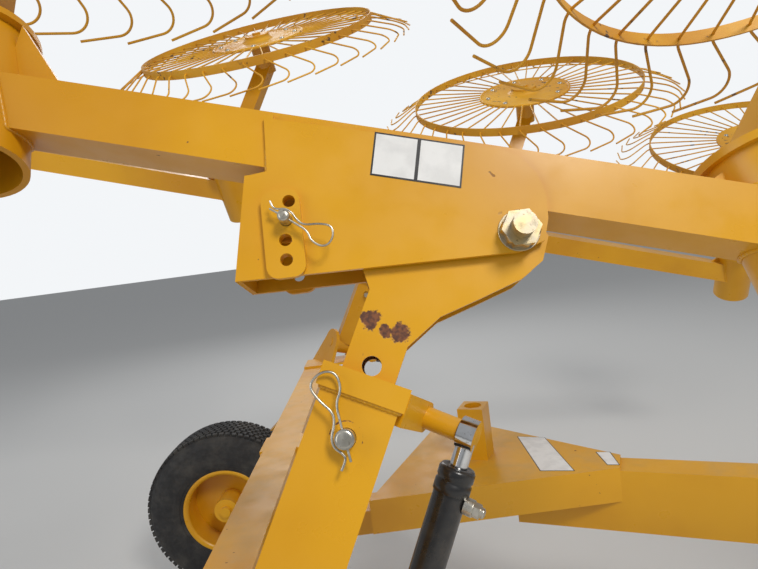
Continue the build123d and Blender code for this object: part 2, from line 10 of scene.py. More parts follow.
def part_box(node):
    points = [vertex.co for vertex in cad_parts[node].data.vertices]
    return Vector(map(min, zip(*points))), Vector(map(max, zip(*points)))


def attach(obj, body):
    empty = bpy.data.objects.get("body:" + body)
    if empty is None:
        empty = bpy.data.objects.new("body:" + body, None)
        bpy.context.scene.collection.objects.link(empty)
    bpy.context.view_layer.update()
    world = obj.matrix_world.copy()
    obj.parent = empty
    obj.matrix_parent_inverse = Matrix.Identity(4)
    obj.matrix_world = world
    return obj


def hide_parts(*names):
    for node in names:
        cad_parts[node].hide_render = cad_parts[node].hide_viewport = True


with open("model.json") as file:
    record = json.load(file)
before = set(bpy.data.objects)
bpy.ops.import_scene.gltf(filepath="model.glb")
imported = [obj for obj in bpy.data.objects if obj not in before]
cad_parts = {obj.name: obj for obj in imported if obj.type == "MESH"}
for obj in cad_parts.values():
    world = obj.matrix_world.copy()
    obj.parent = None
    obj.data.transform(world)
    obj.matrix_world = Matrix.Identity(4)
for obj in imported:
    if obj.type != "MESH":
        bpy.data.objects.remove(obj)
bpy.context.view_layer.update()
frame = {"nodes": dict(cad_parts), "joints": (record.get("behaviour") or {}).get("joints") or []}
nodes = frame["nodes"]
joints = {joint["name"]: joint for joint in frame["joints"]}
scene = bpy.context.scene

SIDES = (("right", 1), ("left", -1))
RAKE_WHEELS = 4

# Camera: beside the right wing, a little above its head, rolled and looking slightly down
CAMERA_AT = (-0.386, -2.15, 1.75)
CAMERA_ROLL = math.radians(7.5)
CAMERA_DROP = math.radians(5.0)
CAMERA_NEAR = 0.02
CAMERA_FAR = 200.0
FOCAL_PIXELS = 570.0
IMAGE_WIDTH = 758.0
SENSOR_MM = 36.0

# World: what lights the rake, and what the camera sees behind it, as colour and strength
SKY_LIGHT = ((0.93, 0.96, 1.0), 0.36)
SKY_SEEN = ((0.90, 0.92, 0.94), 1.0)

# Lamps: name, place, what it faces, size, watts and colour
WHITE = (1, 1, 1)
LAMPS = (
    ("key", (3.0, -6.0, 7.5), (-0.4, -0.4, 1.2), 2.2, 460, (1.0, 0.97, 0.92)),
    ("fill", (-6.5, -4.0, 4.0), (-0.5, 0, 1.2), 4.5, 130, WHITE),
    ("rear", (-1.0, 7.0, 6.0), (-0.5, 0, 1.5), 4.0, 160, WHITE),
)

# Floor, a square
FLOOR_HALF = 60.0
FLOOR_PALE = (0.62, 0.62, 0.61)
FLOOR_ROUGH = 0.85

# Head of a wing: the bolt and the mast's zero from the beam's middle, half the beam's side, and how far
# out the bracket and its pad reach
BOLT_U = 0.2106
BOLT_V = -0.1655
MAST_ZERO_U = 0.119
BEAM_HALF = 0.0508
BRACKET_OUT = 0.0603
PAD_OUT = 0.0723

# Mast, arm and collar, with the lock pin and the collar's bottom down the mast from its zero
MAST_FACE = 0.0445
ARM_HALF = 0.0635
LOCK_DOWN = 0.508
COLLAR_BOTTOM = 0.445

# Beam's drums, and the cranks' posts and bearings
WHEEL_PITCH = 1.500
BEAM_SHIFT = -0.020
WHEEL_STAND_OFF = 0.110
DRUM_RADIUS = 0.095
DRUM_HALF = 0.145
DRUM_CAP = 0.015
BEARING_HALF = 0.030
POST_HALF = 0.038


# Camera and light

def place_camera():
    """Sets the photo's view. The matrix's rows are the world's X, Y and Z as the camera sees them."""
    level = math.cos(CAMERA_DROP)
    x_row = Vector((math.cos(CAMERA_ROLL), math.sin(CAMERA_ROLL), 0))
    z_row = Vector((-math.sin(CAMERA_ROLL) * level, math.cos(CAMERA_ROLL) * level, math.sin(CAMERA_DROP)))
    turn = Matrix((x_row, z_row.cross(x_row), z_row)).to_4x4()
    data = bpy.data.cameras.new("camera")
    data.sensor_width = SENSOR_MM
    data.lens = FOCAL_PIXELS / IMAGE_WIDTH * SENSOR_MM
    data.clip_start = CAMERA_NEAR
    data.clip_end = CAMERA_FAR
    camera = bpy.data.objects.new("camera", data)
    camera.matrix_world = Matrix.Translation(CAMERA_AT) @ turn
    scene.collection.objects.link(camera)
    scene.camera = camera


def add_lamp(name, at, target, size, watts, colour):
    """Square area lamp that faces its target."""
    data = bpy.data.lights.new(name, "AREA")
    data.size = size
    data.energy = watts
    data.color = colour
    lamp = bpy.data.objects.new(name, data)
    lamp.location = at
    lamp.rotation_euler = (Vector(target) - Vector(at)).to_track_quat("-Z", "Y").to_euler()
    scene.collection.objects.link(lamp)


def add_background(tree, colour, strength):
    node = tree.nodes.new("ShaderNodeBackground")
    node.inputs["Color"].default_value = (*colour, 1)
    node.inputs["Strength"].default_value = strength
    return node.outputs[0]


def light_scene():
    """Faint world light, which the camera sees as a bright backdrop, and three lamps."""
    world = bpy.data.worlds.new("studio")
    world.use_nodes = True
    tree = world.node_tree
    tree.nodes.clear()
    path = tree.nodes.new("ShaderNodeLightPath")
    mix = tree.nodes.new("ShaderNodeMixShader")
    out = tree.nodes.new("ShaderNodeOutputWorld")
    tree.links.new(path.outputs["Is Camera Ray"], mix.inputs["Fac"])
    tree.links.new(add_background(tree, *SKY_LIGHT), mix.inputs[1])
    tree.links.new(add_background(tree, *SKY_SEEN), mix.inputs[2])
    tree.links.new(mix.outputs[0], out.inputs["Surface"])
    scene.world = world
    for lamp in LAMPS:
        add_lamp(*lamp)
    scene.view_settings.view_transform = "Standard"


# Mesh and curve helpers

def new_mesh(name, make, material, smooth=False):
    """Piece with the mesh that make(bm) fills."""
    mesh = bpy.data.meshes.new(name)
    bm = bmesh.new()
    make(bm)
    bmesh.ops.recalc_face_normals(bm, faces=bm.faces)
    bm.to_mesh(mesh)
    bm.free()
    mesh.materials.append(material)
    if smooth:
        mesh.shade_smooth()
    piece = bpy.data.objects.new(name, mesh)
    scene.collection.objects.link(piece)
    return piece


def bevel(piece, width, segments=2, angle=35.0):
    """Rounds the edges that turn by more than the angle, in degrees."""
    modifier = piece.modifiers.new("edges", "BEVEL")
    modifier.width = width
    modifier.segments = segments
    modifier.limit_method = "ANGLE"
    modifier.angle_limit = math.radians(angle)
    return piece


def polar(radius, angle, height=0.0):
    return Vector((radius * math.cos(angle), radius * math.sin(angle), height))


def join_rings(bm, rings):
    """Faces between rings of corners. A ring of one repeated corner closes an end."""
    for low, high in zip(rings, rings[1:]):
        for k in range(len(low)):
            n = (k + 1) % len(low)
            corners = (low[k], low[n], high[n], high[k])
            unique = [corner for place, corner in enumerate(corners) if corner not in corners[:place]]
            if len(unique) > 2:
                bm.faces.new(unique)


def add_box(bm, seat, size):
    bmesh.ops.create_cube(bm, size=1.0, matrix=seat @ Matrix.Diagonal((*size, 1.0)))


def add_lathe(bm, seat, profile, segments):
    """Turns (radius, height) points round the matrix's z. A radius of 0 closes the end."""
    rings = []
    for radius, height in profile:
        if radius == 0:
            rings.append([bm.verts.new(seat @ Vector((0, 0, height)))] * segments)
        else:
            rings.append([bm.verts.new(seat @ polar(radius, math.tau * k / segments, height))
                          for k in range(segments)])
    join_rings(bm, rings)


def add_slab(bm, below, above):
    """Solid between two outlines with the same number of points."""
    rings = [[bm.verts.new(place) for place in outline] for outline in (below, above)]
    bm.faces.new(rings[0][::-1])
    bm.faces.new(rings[1])
    join_rings(bm, rings)


def add_hexagon(bm, seat, corner, low, high):
    """Hexagon head, its corner radius given."""
    def outline(height):
        return [seat @ polar(corner, math.tau * n / 6, height) for n in range(6)]

    add_slab(bm, outline(low), outline(high))


def wire(name, points, radius, material):
    """Round wire through the points."""
    data = bpy.data.curves.new(name, "CURVE")
    data.dimensions = "3D"
    data.bevel_depth = radius
    data.bevel_resolution = 4
    data.use_fill_caps = True
    spline = data.splines.new("NURBS")
    spline.points.add(len(points) - 1)
    for point, place in zip(spline.points, points):
        point.co = (*place, 1)
    spline.order_u = 3
    spline.use_endpoint_u = True
    spline.resolution_u = 10
    data.materials.append(material)
    piece = bpy.data.objects.new(name, data)
    scene.collection.objects.link(piece)
    return piece


def axes_matrix(at, x_axis, z_axis):
    """Matrix with its origin at a point, its z along z_axis and its x near x_axis."""
    z = Vector(z_axis).normalized()
    x = Vector(x_axis)
    x = (x - z * x.dot(z)).normalized()
    y = z.cross(x)
    return Matrix.Translation(at) @ Matrix((x, y, z)).transposed().to_4x4()


# Materials

def opaque(colour):
    """A socket as it is, and a plain colour with its alpha."""
    return colour if isinstance(colour, bpy.types.NodeSocket) else (*colour, 1)


class Nodes:
    """Short names for making a material's nodes. Noise scales are per metre."""

    def __init__(self, name):
        self.material = bpy.data.materials.new(name)
        self.material.use_nodes = True
        self.tree = self.material.node_tree
        self.shader = self.tree.nodes["Principled BSDF"]
        self.place = self.tree.nodes.new("ShaderNodeTexCoord").outputs["Object"]

    def link(self, value, socket):
        if isinstance(value, bpy.types.NodeSocket):
            self.tree.links.new(value, socket)
        else:
            socket.default_value = value

    def noise(self, scale, detail, rough=0.5):
        node = self.tree.nodes.new("ShaderNodeTexNoise")
        node.inputs["Scale"].default_value = scale
        node.inputs["Detail"].default_value = detail
        node.inputs["Roughness"].default_value = rough
        self.link(self.place, node.inputs["Vector"])
        return node.outputs["Fac"]

    def ramp(self, value, low, high, start=0.0, end=1.0):
        """From start to end while the value goes from low to high, with soft ends."""
        node = self.tree.nodes.new("ShaderNodeMapRange")
        node.interpolation_type = "SMOOTHSTEP"
        self.link(value, node.inputs["Value"])
        for name, number in (("From Min", low), ("From Max", high), ("To Min", start), ("To Max", end)):
            node.inputs[name].default_value = number
        return node.outputs["Result"]

    def clouded(self, scale, detail, least, most):
        """A value that drifts between two limits in clouds."""
        return self.ramp(self.noise(scale, detail), 0.3, 0.7, least, most)

    def math(self, operation, a, b=0.0):
        node = self.tree.nodes.new("ShaderNodeMath")
        node.operation = operation
        self.link(a, node.inputs[0])
        self.link(b, node.inputs[1])
        return node.outputs[0]

    def mix(self, share, a, b):
        node = self.tree.nodes.new("ShaderNodeMix")
        node.data_type = "RGBA"
        self.link(share, node.inputs["Factor"])
        self.link(opaque(a), node.inputs["A"])
        self.link(opaque(b), node.inputs["B"])
        return node.outputs["Result"]

    def distance(self, point):
        node = self.tree.nodes.new("ShaderNodeVectorMath")
        node.operation = "DISTANCE"
        self.link(self.place, node.inputs[0])
        node.inputs[1].default_value = point
        return node.outputs["Value"]

    def frayed(self, away, grain, fray, outside, inside):
        """1 where a distance is inside an edge that noise frays, 0 outside it."""
        ragged = self.math("ADD", away, self.math("MULTIPLY", self.noise(grain, 5.0, 0.7), fray))
        return self.ramp(ragged, outside, inside)

    def up(self):
        """How far the surface faces up, from -1 to 1."""
        geometry = self.tree.nodes.new("ShaderNodeNewGeometry")
        split = self.tree.nodes.new("ShaderNodeSeparateXYZ")
        self.link(geometry.outputs["Normal"], split.inputs[0])
        return split.outputs["Z"]

    def bump(self, height, strength, distance):
        node = self.tree.nodes.new("ShaderNodeBump")
        node.inputs["Strength"].default_value = strength
        node.inputs["Distance"].default_value = distance
        self.link(height, node.inputs["Height"])
        return node.outputs["Normal"]

    def finish(self, colour, roughness, metallic=0.0, normal=None, **others):
        """Joins the values to the shader. Others are its inputs, with _ for a space."""
        self.link(opaque(colour), self.shader.inputs["Base Color"])
        self.link(roughness, self.shader.inputs["Roughness"])
        self.link(metallic, self.shader.inputs["Metallic"])
        if normal is not None:
            self.link(normal, self.shader.inputs["Normal"])
        for name, value in others.items():
            self.shader.inputs[name.replace("_", " ")].default_value = value
        return self.material


YELLOW = (0.74, 0.370, 0.006)
YELLOW_DEEP = (0.60, 0.27, 0.004)
DUST = (0.46, 0.33, 0.16)
PRIMER = (0.085, 0.030, 0.017)
RUST = (0.22, 0.075, 0.025)
TINE_YELLOW = (0.80, 0.42, 0.02)
TINE_DEEP = (0.60, 0.27, 0.012)
TINE_BARE = (0.10, 0.055, 0.03)
TYRE_BLACK = (0.018, 0.018, 0.019)
TYRE_DUST = (0.085, 0.078, 0.066)
STEEL_SPOT = (0.16, 0.10, 0.05)
BLACK = (0.012, 0.012, 0.013)
BLACK_DUST = (0.12, 0.10, 0.075)
FILM_WHITE = (0.80, 0.80, 0.79)
FILM_DARK = (0.02, 0.02, 0.022)

# Steels: bright and dull colour, and least and most roughness
ZINC = ((0.66, 0.63, 0.55), (0.48, 0.45, 0.38), 0.24, 0.42)
GOLD_ZINC = ((0.62, 0.50, 0.28), (0.50, 0.44, 0.34), 0.26, 0.44)
CHROME = ((0.80, 0.80, 0.80), (0.70, 0.70, 0.70), 0.08, 0.16)


def yellow_paint(name, worn=(), rings=()):
    """Sprayed yellow enamel: slight orange peel, dust on what faces up, and chips.

    It is bare in worn patches and along rings, each given by a middle and a radius.
    """
    m = Nodes(name)
    colour = m.mix(m.ramp(m.noise(1.7, 4.0), 0.35, 0.70), YELLOW, YELLOW_DEEP)
    dust_film = m.ramp(m.noise(9.0, 6.0, 0.65), 0.40, 0.75, 0.05, 0.42)
    dust = m.math("MULTIPLY", m.ramp(m.up(), 0.3, 1.0), dust_film)
    colour = m.mix(dust, colour, DUST)
    chips = m.ramp(m.noise(55.0, 2.0), 0.735, 0.755)
    chipped_areas = m.ramp(m.noise(3.1, 2.0), 0.52, 0.62)
    bare = m.math("MULTIPLY", chips, chipped_areas)
    for point, radius in worn:
        patch = m.frayed(m.distance(point), 70.0, radius * 1.6, radius * 1.75, radius * 1.55)
        bare = m.math("MAXIMUM", bare, patch)
    for point, radius in rings:
        away = m.math("ABSOLUTE", m.math("SUBTRACT", m.distance(point), radius))
        ring = m.frayed(away, 90.0, radius * 0.5, radius * 0.27, radius * 0.21)
        bare = m.math("MAXIMUM", bare, ring)
    scraped = m.mix(m.ramp(m.noise(140.0, 3.0), 0.35, 0.65), PRIMER, RUST)
    colour = m.mix(bare, colour, scraped)
    dulled = m.math("MULTIPLY", m.math("ADD", bare, dust), 0.35)
    rough = m.math("ADD", m.clouded(14.0, 5.0, 0.27, 0.43), dulled)
    peel = m.math("MULTIPLY", m.noise(230.0, 1.0), 0.12)
    normal = m.bump(m.math("SUBTRACT", peel, bare), 0.35, 0.0006)
    return m.finish(colour, rough, 0.0, normal, Coat_Weight=0.12, Coat_Roughness=0.22)


def tine_paint():
    """Thinly painted spring steel, rubbed to dark metal in places."""
    m = Nodes("tine_yellow")
    colour = m.mix(m.clouded(3.0, 4.0, 0.0, 1.0), TINE_YELLOW, TINE_DEEP)
    rubbed = m.ramp(m.noise(26.0, 4.0), 0.60, 0.66)
    rubbed_areas = m.ramp(m.noise(4.0, 2.0), 0.48, 0.60)
    colour = m.mix(m.math("MULTIPLY", rubbed, rubbed_areas), colour, TINE_BARE)
    rough = m.clouded(18.0, 4.0, 0.40, 0.58)
    normal = m.bump(m.noise(190.0, 1.0), 0.15, 0.0004)
    return m.finish(colour, rough, 0.0, normal, Coat_Weight=0.08, Coat_Roughness=0.35)


def rubber():
    """Black rubber, dusty in clouds."""
    m = Nodes("tyre_rubber")
    dusty = m.ramp(m.noise(7.0, 7.0, 0.65), 0.42, 0.72, 0.0, 0.55)
    colour = m.mix(dusty, TYRE_BLACK, TYRE_DUST)
    rough = m.clouded(40.0, 4.0, 0.62, 0.85)
    return m.finish(colour, rough, 0.0, m.bump(m.noise(330.0, 3.0), 0.3, 0.0008))


def plated(name, bright, dull, least_rough, most_rough):
    """Plated or polished steel with a cloudy finish and small dark spots."""
    m = Nodes(name)
    colour = m.mix(m.ramp(m.noise(42.0, 5.0), 0.35, 0.65), bright, dull)
    spots = m.math("MULTIPLY", m.ramp(m.noise(210.0, 2.0), 0.66, 0.72), 0.55)
    colour = m.mix(spots, colour, STEEL_SPOT)
    rough = m.clouded(65.0, 4.0, least_rough, most_rough)
    return m.finish(colour, rough, 1.0, m.bump(m.noise(300.0, 2.0), 0.12, 0.0003))


def black_paint():
    """Glossy black paint with a little dust."""
    m = Nodes("black_paint")
    dusty = m.ramp(m.noise(12.0, 6.0, 0.6), 0.45, 0.75, 0.0, 0.30)
    colour = m.mix(dusty, BLACK, BLACK_DUST)
    rough = m.clouded(30.0, 4.0, 0.22, 0.40)
    normal = m.bump(m.noise(160.0, 2.0), 0.12, 0.0004)
    return m.finish(colour, rough, 0.0, normal, Coat_Weight=0.3, Coat_Roughness=0.15)


def vinyl(name, colour):
    """Vinyl film, slightly wrinkled and faded in clouds."""
    m = Nodes(name)
    faded = tuple(value * 0.86 + 0.02 for value in colour)
    mixed = m.mix(m.ramp(m.noise(30.0, 4.0), 0.4, 0.7), colour, faded)
    rough = m.clouded(50.0, 3.0, 0.30, 0.48)
    return m.finish(mixed, rough, 0.0, m.bump(m.noise(85.0, 3.0), 0.2, 0.0004))


# Wings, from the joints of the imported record

class Wing:
    """One side's head and beam. From the pivot bolt, u is forward, v up the wing and w outboard."""

    def __init__(self, side, sign):
        self.side = side
        self.sign = sign
        head = joints[f"head_angle_{side}"]
        self.bolt = Vector(head["pos_m"])
        self.u = Vector((1, 0, 0))
        self.w = Vector(head["axis"]).normalized()
        if self.w.y * sign > 0:
            self.w.negate()
        self.v = self.w.cross(self.u) * sign
        self.mast_dir = Vector(joints[f"mast_slide_{side}"]["axis"]).normalized()
        self.mast_zero = self.from_beam(MAST_ZERO_U, 0)
        self.along = (self.wheel_at(3) - self.wheel_at(2)).normalized()

    def at(self, u, v, w=0.0):
        return self.bolt + self.u * u + self.v * v + self.w * w

    def from_beam(self, u, v, w=0.0):
        """A place given from the beam's middle instead of the bolt."""
        return self.at(u - BOLT_U, v - BOLT_V, w)

    def seat(self, place, way=1):
        """Matrix at a place, its z outboard, or inboard where way is -1."""
        return axes_matrix(place, self.u, self.w * way)

    def lock_point(self, out):
        """A point on the lock pin's axis, out metres outboard."""
        return self.mast_zero - self.mast_dir * LOCK_DOWN + self.w * out

    def wheel_at(self, n):
        return Vector(joints[f"rake_wheel_{n}_{self.side}"]["pos_m"])

    def axle(self, n):
        """Up rake wheel n's axle, which its drum is parallel to."""
        axle = Vector(joints[f"rake_wheel_{n}_{self.side}"]["axis"]).normalized()
        return axle if axle.z > 0 else -axle

    def drum_at(self, n):
        """Middle of the drum on the beam that carries rake wheel n."""
        return self.from_beam(0, 0) + self.along * ((n - (RAKE_WHEELS + 1) / 2) * WHEEL_PITCH + BEAM_SHIFT)

    def post(self, n):
        """Foot of a crank's post inside its drum's cap, and the way it leans."""
        axle = self.axle(n)
        foot = self.drum_at(n) + axle * (DRUM_HALF + DRUM_CAP / 2)
        bearing = self.wheel_at(n) - axle * (WHEEL_STAND_OFF + BEARING_HALF)
        return foot, (bearing - foot).normalized()


wings = {side: Wing(side, sign) for side, sign in SIDES}

# Ground wheels. The tyre's section runs from the crown to the bead, as (across, radius)
TYRE_HALF_WIDTH = 0.140
TYRE_SECTION = (
    (0.000, 0.4110), (0.050, 0.4100), (0.085, 0.4065), (0.108, 0.3980), (0.124, 0.3820), (0.133, 0.3560),
    (0.1375, 0.3250), (0.1390, 0.2950), (0.1370, 0.2650), (0.1300, 0.2400), (0.1260, 0.2370),
    (0.1240, 0.2290), (0.1180, 0.2160), (0.1120, 0.2070),
)
TREAD_ROWS = 8
TREAD_AROUND = 78
TREAD_PITCH = 0.0275
TREAD_CROWN = 0.4112
TREAD_DROP = 0.0145
TREAD_LEAN = math.radians(26.0)
TREAD_SKEW = math.radians(14.0)
BLOCK_SIZE = (0.0150, 0.0245, 0.0215)

WHEEL_BOLTS = 5
WHEEL_BOLT_CIRCLE = 0.095
WHEEL_BOLT_OUT = 0.030
WHEEL_BOLT_CORNER = 0.0125
WHEEL_BOLT_HEAD = 0.012
WHEEL_STUD = ((0.008, 0.010), (0.008, 0.020), (0.006, 0.022), (0, 0.022))
HUB_CAP = ((0, 0.140), (0.018, 0.1395), (0.034, 0.135), (0.041, 0.124), (0.043, 0.112))
RIM_LIP = ((0.196, 0.112), (0.207, 0.116), (0.218, 0.1185), (0.2225, 0.1225), (0.2185, 0.1260),
           (0.2060, 0.1220), (0.1970, 0.1150))


def make_tyre(wing, material):
    """Carcass turned from its section, and rows of small turf blocks round the crown."""
    side = wing.side
    centre = axes_matrix(joints[f"ground_wheel_{side}"]["pos_m"], (1, 0, 0), (0, -1, 0))
    profile = [(radius, -across) for across, radius in reversed(TYRE_SECTION[1:])]
    profile += [(radius, across) for across, radius in TYRE_SECTION]

    def make(bm):
        add_lathe(bm, centre, profile, segments=120)
        for row in range(TREAD_ROWS):
            across = (row - (TREAD_ROWS - 1) / 2) * TREAD_PITCH
            shoulder = (abs(across) / TYRE_HALF_WIDTH) ** 3
            at = Matrix.Translation((TREAD_CROWN - TREAD_DROP * shoulder, 0, across))
            lean = Matrix.Rotation(TREAD_LEAN * shoulder * (-1 if across > 0 else 1), 4, "Y")
            skew = Matrix.Rotation(TREAD_SKEW * (1 if row % 2 else -1), 4, "X")
            for k in range(TREAD_AROUND):
                turn = Matrix.Rotation(math.tau * (k + 0.5 * (row % 2)) / TREAD_AROUND, 4, "Z")
                add_box(bm, centre @ turn @ at @ lean @ skew, BLOCK_SIZE)

    piece = bevel(new_mesh(f"tread_{side}", make, material), 0.0016, segments=1, angle=50)
    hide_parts(f"tyre_{side}")
    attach(piece, f"ground_wheel_{side}")


def make_rim_details(wing, paint, steel, black):
    """Wheel bolts, hub cap and the rim's two lips."""
    side = wing.side
    centre = axes_matrix(joints[f"ground_wheel_{side}"]["pos_m"], (1, 0, 0), (0, -wing.sign, 0))

    def bolts(bm):
        for k in range(WHEEL_BOLTS):
            turn = Matrix.Rotation(math.tau * k / WHEEL_BOLTS, 4, "Z")
            at = centre @ turn @ Matrix.Translation((WHEEL_BOLT_CIRCLE, 0, WHEEL_BOLT_OUT))
            add_hexagon(bm, at, WHEEL_BOLT_CORNER, 0.0, WHEEL_BOLT_HEAD)
            add_lathe(bm, at, WHEEL_STUD, segments=20)

    piece = bevel(new_mesh(f"wheel_bolts_{side}", bolts, steel), 0.0015)
    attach(piece, f"ground_wheel_{side}")

    def cap(bm):
        add_lathe(bm, centre, HUB_CAP, segments=48)

    piece = new_mesh(f"hub_cap_{side}", cap, black, smooth=True)
    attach(piece, f"ground_wheel_{side}")

    def flanges(bm):
        for way in (1, -1):
            lip = [(radius, across * way) for radius, across in RIM_LIP]
            add_lathe(bm, centre, lip + lip[:1], segments=96)

    piece = new_mesh(f"rim_flanges_{side}", flanges, paint, smooth=True)
    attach(piece, f"ground_wheel_{side}")


# Pivot bolt. NUT_TURN is how far the nut's corners are turned on the bolt, in radians
BOLT_RADIUS = 0.019
BOLT_TAIL = ((0, -0.006), (0.0165, -0.006), (BOLT_RADIUS, -0.003), (BOLT_RADIUS, 0.001))
BOLT_SEGMENTS = 48
WASHER_RADIUS = 0.0345
WASHER_HEIGHT = 0.0030
NUT_HALF_FLATS = 0.0285
NUT_HEIGHT = 0.024
NUT_TOP = NUT_HEIGHT - 0.0005
NUT_LEVELS = 8
NUT_CHAMFER = 0.0018
NUT_TURN = 0.32
THREAD_TURNS = 8
THREAD_PITCH = 0.0030
THREAD_DEPTH = 0.0017
THREAD_ROOT = 0.0004
THREAD_SINK = 0.002
TIP_CHAMFER = 0.0025
TIP_HEIGHT = 0.0012


def add_nut(bm, seat):
    """Hexagon nut on its washer, its corners cut back toward both faces."""
    washer = ((BOLT_RADIUS, 0), (WASHER_RADIUS, 0), (WASHER_RADIUS, WASHER_HEIGHT),
              (BOLT_RADIUS, WASHER_HEIGHT))
    add_lathe(bm, seat, washer, BOLT_SEGMENTS)
    corner = NUT_HALF_FLATS / math.cos(math.pi / 6)
    rings = []
    for level in range(NUT_LEVELS + 1):
        height = WASHER_HEIGHT + (NUT_TOP - WASHER_HEIGHT) * level / NUT_LEVELS
        from_face = min(level, NUT_LEVELS - level)
        limit = corner - max(0, 2 - from_face) * NUT_CHAMFER
        ring = []
        for n in range(BOLT_SEGMENTS):
            angle = math.tau * n / BOLT_SEGMENTS
            flat = NUT_HALF_FLATS / math.cos((angle + NUT_TURN) % (math.pi / 3) - math.pi / 6)
            ring.append(bm.verts.new(seat @ polar(min(flat, limit), angle, height)))
        rings.append(ring)
    join_rings(bm, rings)
    bm.faces.new(rings[0][::-1])
    bm.faces.new(rings[-1])


def thread_profile():
    """The bolt's end above its nut: ridges, then a chamfered tip."""
    profile = [(BOLT_RADIUS, NUT_HEIGHT - THREAD_SINK)]
    for turn in range(THREAD_TURNS):
        base = NUT_HEIGHT + turn * THREAD_PITCH
        profile += [(BOLT_RADIUS - THREAD_DEPTH, base + THREAD_ROOT), (BOLT_RADIUS, base + THREAD_PITCH / 2)]
    top = NUT_HEIGHT + THREAD_TURNS * THREAD_PITCH
    return profile + [(BOLT_RADIUS - TIP_CHAMFER, top + TIP_HEIGHT / 2), (0, top + TIP_HEIGHT)]


def make_pivot_bolt(wing, steel):
    """Large bolt through the bracket, with a nut and washer each side and threads outboard."""
    def make(bm):
        for way in (1, -1):
            add_nut(bm, wing.seat(wing.at(0, 0, way * BRACKET_OUT), way))
        add_lathe(bm, wing.seat(wing.at(0, 0, BRACKET_OUT)), thread_profile(), BOLT_SEGMENTS)
        add_lathe(bm, wing.seat(wing.at(0, 0, -BRACKET_OUT - NUT_HEIGHT)), BOLT_TAIL, BOLT_SEGMENTS)

    piece = new_mesh(f"bolt_and_nut_{wing.side}", make, steel)
    bevel(piece, 0.0006, segments=1, angle=40)
    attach(piece, f"head_{wing.side}")


# Lock pin and angle pin. END_OVER is how far a drawn end stands over the CAD pin. A clip's sizes are how
# far out it sits, its wire's radius and its reach, and its way is (u, v)
PIN_CIRCLE = 0.380
PIN_ANGLE = math.radians(10.0)
PIN_RADIUS = 0.0095
PIN_END = 0.1003
PIN_CLIP = (0.090, 0.0018, 0.082)
PIN_CLIP_WAY = (0.80, -0.62)
LOCK_RADIUS = 0.015
LOCK_START = 0.0645
LOCK_END = 0.0915
LOCK_CLIP = (0.083, 0.0021, 0.100)
LOCK_CLIP_WAY = (-0.16, 1.0)
END_OVER = 0.0003
END_CHAMFER = 0.0025
END_CROWN = 0.006
CLIP_EYE = 0.17


def add_pin_end(bm, seat, radius, low, high):
    """Chamfered end, a little over the CAD pin."""
    shank = radius + END_OVER
    top = high + END_OVER
    profile = ((shank, low), (shank, high - END_CHAMFER), (radius - END_CHAMFER, high),
               (radius - END_CROWN, top), (0, top))
    add_lathe(bm, seat, profile, segments=40)


def make_clip(name, wing, base, way, pin_radius, sizes, material, body):
    """Hairpin clip: one leg through the pin, the other sprung round it, and an eye at the far end."""
    out, gauge, reach = sizes
    seat = axes_matrix(base + wing.w * out, wing.u * way[0] + wing.v * way[1], wing.w * wing.sign)
    over = pin_radius + gauge
    eye = reach * CLIP_EYE
    straight = ((-0.34 * reach, 0.0), (-0.1 * reach, 0.0), (0.25 * reach, 0.0), (0.55 * reach, -0.01 * reach))
    loop = ((0.72 * reach, -0.9 * eye), (reach, -0.8 * eye), (reach + 0.4 * eye, 0.55 * eye),
            (0.92 * reach, 1.9 * eye), (0.66 * reach, 1.35 * eye))
    sprung = ((0.42 * reach, 0.35 * over), (0.24 * reach, 0.55 * over), (0.08 * reach, 1.12 * over),
              (-0.08 * reach, 1.12 * over), (-0.2 * reach, 0.45 * over), (-0.30 * reach, 0.35 * over),
              (-0.42 * reach, 1.0 * over))
    points = [seat @ Vector((x, y, 0)) for x, y in straight + loop + sprung]
    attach(wire(name, points, gauge, material), body)


def make_pin_ends(wing, steel):
    """Ends of the lock pin and the angle pin, and their clips."""
    side = wing.side
    lock = wing.lock_point(0)
    pin = wing.at(-PIN_CIRCLE * math.cos(PIN_ANGLE), PIN_CIRCLE * math.sin(PIN_ANGLE))

    def lock_end(bm):
        add_pin_end(bm, wing.seat(lock), LOCK_RADIUS, LOCK_START, LOCK_END)

    def pin_end(bm):
        add_pin_end(bm, wing.seat(pin), PIN_RADIUS, PAD_OUT, PIN_END)

    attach(new_mesh(f"lock_pin_end_{side}", lock_end, steel, smooth=True), f"arm_{side}")
    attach(new_mesh(f"angle_pin_end_{side}", pin_end, steel, smooth=True), f"head_{side}")
    make_clip(f"lock_clip_{side}", wing, lock, LOCK_CLIP_WAY, LOCK_RADIUS, LOCK_CLIP, steel, f"arm_{side}")
    make_clip(f"angle_clip_{side}", wing, pin, PIN_CLIP_WAY, PIN_RADIUS, PIN_CLIP, steel, f"head_{side}")


# Blank films. The label's corners are (u, v) from the beam's middle, the tongue root's are (x, y)
FILM_THICKNESS = 0.0006
FILM_RIM = 0.003
LABEL_CORNERS = ((0.000, 0.040), (0.147, -0.005), (0.129, -0.080), (-0.018, -0.036))
ROOT_FILMS = (((0.097, 0.132), (0.198, 0.084), (0.203, -0.246), (0.091, -0.211)),
              ((0.326, -0.115), (0.374, -0.131), (0.360, -0.246), (0.321, -0.233)))
ROOT_TOP = 0.8514


